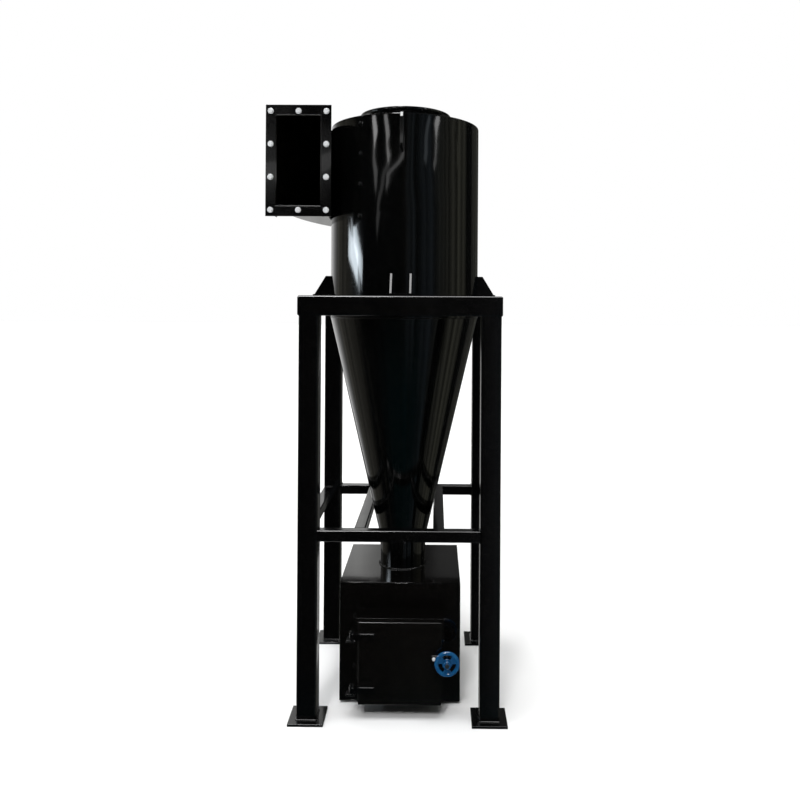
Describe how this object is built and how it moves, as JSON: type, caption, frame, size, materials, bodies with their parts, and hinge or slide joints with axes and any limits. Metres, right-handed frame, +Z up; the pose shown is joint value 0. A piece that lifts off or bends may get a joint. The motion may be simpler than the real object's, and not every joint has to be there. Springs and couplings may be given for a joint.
{
  "type": "cyclone separator",
  "caption": "Tangential-inlet cyclone dust separator on a square tube stand, with a cone over a dust box whose hinged door is drawn shut by a handwheel.",
  "frame": {"origin": "middle of the floor area that the separator covers, at floor level", "axes": "+Z up, +X right and +Y backwards as seen from the side with the inlet's mouth and the dust box's door"},
  "size_m": [0.98, 0.86, 2.479],
  "materials": {
    "black_paint": "gloss black paint",
    "blue_paint": "gloss blue paint",
    "bare_steel": "bright bare steel"
  },
  "bodies": {
    "stand": {"leg_front_left": "black_paint", "leg_front_right": "black_paint", "leg_back_left": "black_paint", "leg_back_right": "black_paint", "foot_plates": "black_paint", "top_beam_front": "black_paint", "top_beam_back": "black_paint", "top_beam_left": "black_paint", "top_beam_right": "black_paint", "mid_rails": "black_paint", "cone_bars": "black_paint", "barrel": "black_paint", "barrel_top_plate": "black_paint", "cone": "black_paint", "cone_neck": "black_paint", "outlet_pipe": "black_paint", "outlet_flange": "black_paint", "inlet_outer_wall": "black_paint", "inlet_inner_wall": "black_paint", "inlet_top_plate": "black_paint", "inlet_bottom_plate": "black_paint", "inlet_flange_left": "black_paint", "inlet_flange_right": "black_paint", "inlet_flange_top": "black_paint", "inlet_flange_bottom": "black_paint", "lifting_lug_front": "black_paint", "lifting_lug_back": "black_paint", "bracket_front": "black_paint", "bracket_back": "black_paint", "bracket_left": "black_paint", "bracket_right": "black_paint", "box_front_wall": "black_paint", "box_back_wall": "black_paint", "box_left_wall": "black_paint", "box_right_wall": "black_paint", "box_top_plate": "black_paint", "box_floor": "black_paint", "door_throat": "black_paint", "hinge_pintles": "bare_steel", "latch_keeper": "black_paint"},
    "ash_door": {"door_panel": "black_paint", "door_straps": "black_paint", "latch_lug": "black_paint"},
    "handwheel": {"latch_spindle": "bare_steel", "handwheel": "blue_paint"}
  },
  "joints": [
    {"name": "door_hinge", "type": "hinge", "parent": "stand", "child": "ash_door", "pos_m": [-0.122, -0.37295, 0.225], "axis": [0, 0, -1], "range_deg": [0, 120]},
    {"name": "handwheel_spin", "type": "hinge", "parent": "ash_door", "child": "handwheel", "pos_m": [0.253, -0.403, 0.238], "axis": [0, 1, 0], "continuous": true}
  ]
}
